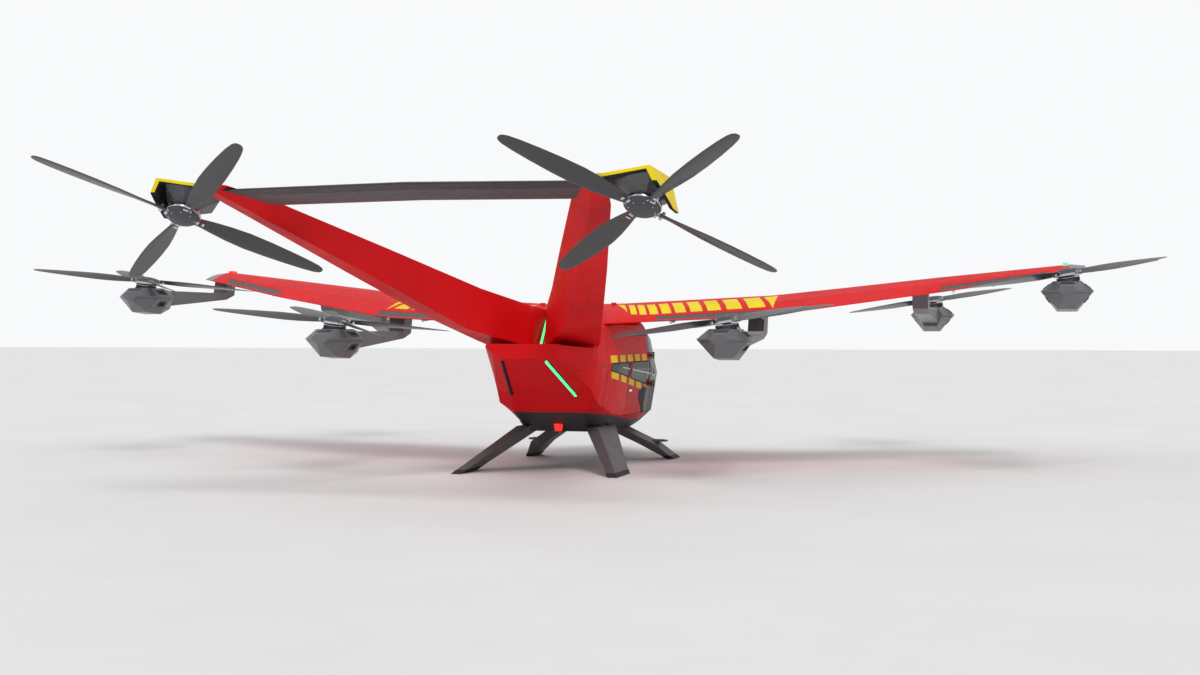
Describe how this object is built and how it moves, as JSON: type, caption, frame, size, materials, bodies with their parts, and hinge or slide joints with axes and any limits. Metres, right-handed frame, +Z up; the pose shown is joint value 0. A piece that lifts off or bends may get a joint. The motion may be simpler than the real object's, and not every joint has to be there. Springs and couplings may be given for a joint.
{
  "type": "electric vertical take-off aircraft",
  "caption": "Electric vertical take-off aircraft with a cabin pod, forward-swept high wing, V tail, free-turning rotors on booms, hinged doors and splayed landing legs.",
  "frame": {"origin": "on the floor below the centre of the whole aircraft's box", "axes": "+X starboard, +Y forward to the nose, +Z up"},
  "size_m": [13.5692, 11.2778, 3.2468],
  "materials": {
    "signal_red": "gloss",
    "signal_yellow": "gloss",
    "pod_grey": "satin",
    "dark_panel": "satin",
    "belly_dark": "satin",
    "gear_grey": "satin",
    "rotor_composite": "satin",
    "tinted_glass": "gloss",
    "seat_fabric": "matt",
    "interior": "matt",
    "battery_case": "satin",
    "beacon_red": "gloss",
    "lamp_red": "gloss",
    "lamp_green": "gloss"
  },
  "bodies": {
    "airframe": {"battery_pack": "battery_case", "beacon": "beacon_red", "belly_pan": "belly_dark", "cabin_floor": "interior", "inboard_pod_left": "pod_grey", "inboard_pod_right": "pod_grey", "inner_flap_left": "dark_panel", "inner_flap_right": "dark_panel", "instrument_panel": "interior", "led_strip_lower_left": "lamp_green", "led_strip_lower_right": "lamp_green", "led_strip_upper": "lamp_green", "leg_front_left": "gear_grey", "leg_front_right": "gear_grey", "leg_rear_left": "gear_grey", "leg_rear_right": "gear_grey", "mid_pod_left": "pod_grey", "mid_pod_right": "pod_grey", "nav_lamp_left": "lamp_red", "nav_lamp_right": "lamp_green", "nose_skin": "belly_dark", "outer_flap_left": "dark_panel", "outer_flap_right": "dark_panel", "rear_bulkhead": "interior", "rear_window_left": "tinted_glass", "rear_window_right": "tinted_glass", "roof_skin": "signal_red", "seat_front_left": "seat_fabric", "seat_front_right": "seat_fabric", "seat_rear_left": "seat_fabric", "seat_rear_right": "seat_fabric", "side_skin_left": "signal_red", "side_skin_right": "signal_red", "stabiliser": "dark_panel", "tail_arm_left": "signal_red", "tail_arm_right": "signal_red", "tail_cone": "signal_red", "tail_cowl_left": "signal_yellow", "tail_cowl_right": "signal_yellow", "tail_pod_left": "pod_grey", "tail_pod_right": "pod_grey", "tip_pod_left": "pod_grey", "tip_pod_right": "pod_grey", "windscreen": "tinted_glass", "wing_left": "signal_red", "wing_right": "signal_red"},
    "inboard_rotor_right": {"inboard_rotor_right": "rotor_composite"},
    "inboard_rotor_left": {"inboard_rotor_left": "rotor_composite"},
    "mid_rotor_right": {"mid_rotor_right": "rotor_composite"},
    "mid_rotor_left": {"mid_rotor_left": "rotor_composite"},
    "tip_rotor_right": {"tip_rotor_right": "rotor_composite"},
    "tip_rotor_left": {"tip_rotor_left": "rotor_composite"},
    "tail_rotor_right": {"tail_rotor_right": "rotor_composite"},
    "tail_rotor_left": {"tail_rotor_left": "rotor_composite"},
    "door_right": {"door_right": "signal_red", "door_window_right": "tinted_glass"},
    "door_left": {"door_left": "signal_red", "door_window_left": "tinted_glass"}
  },
  "joints": [
    {"name": "inboard_rotor_right_spin", "type": "hinge", "parent": "airframe", "child": "inboard_rotor_right", "pos_m": [2.25, -1.19, 1.735], "axis": [-0.1478, -0.0262, 0.9887], "continuous": true},
    {"name": "inboard_rotor_left_spin", "type": "hinge", "parent": "airframe", "child": "inboard_rotor_left", "pos_m": [-2.25, -1.19, 1.735], "axis": [0.1478, -0.0262, 0.9887], "continuous": true},
    {"name": "mid_rotor_right_spin", "type": "hinge", "parent": "airframe", "child": "mid_rotor_right", "pos_m": [4, 4.59, 2.04], "axis": [-0.1478, -0.0262, 0.9887], "continuous": true},
    {"name": "mid_rotor_left_spin", "type": "hinge", "parent": "airframe", "child": "mid_rotor_left", "pos_m": [-4, 4.59, 2.04], "axis": [0.1478, -0.0262, 0.9887], "continuous": true},
    {"name": "tip_rotor_right_spin", "type": "hinge", "parent": "airframe", "child": "tip_rotor_right", "pos_m": [5.75, 0.69, 2.265], "axis": [-0.1478, -0.0262, 0.9887], "continuous": true},
    {"name": "tip_rotor_left_spin", "type": "hinge", "parent": "airframe", "child": "tip_rotor_left", "pos_m": [-5.75, 0.69, 2.265], "axis": [0.1478, -0.0262, 0.9887], "continuous": true},
    {"name": "tail_rotor_right_spin", "type": "hinge", "parent": "airframe", "child": "tail_rotor_right", "pos_m": [2.2, -4.72, 2.69], "axis": [-0.0375, -0.5105, -0.859], "continuous": true},
    {"name": "tail_rotor_left_spin", "type": "hinge", "parent": "airframe", "child": "tail_rotor_left", "pos_m": [-2.2, -4.72, 2.69], "axis": [0.0375, -0.5105, -0.859], "continuous": true},
    {"name": "door_right_hinge", "type": "hinge", "parent": "airframe", "child": "door_right", "pos_m": [0.708, 1.938, 1.075], "axis": [0, 0, 1], "range_deg": [0, 70]},
    {"name": "door_left_hinge", "type": "hinge", "parent": "airframe", "child": "door_left", "pos_m": [-0.708, 1.938, 1.075], "axis": [0, 0, -1], "range_deg": [0, 70]}
  ]
}
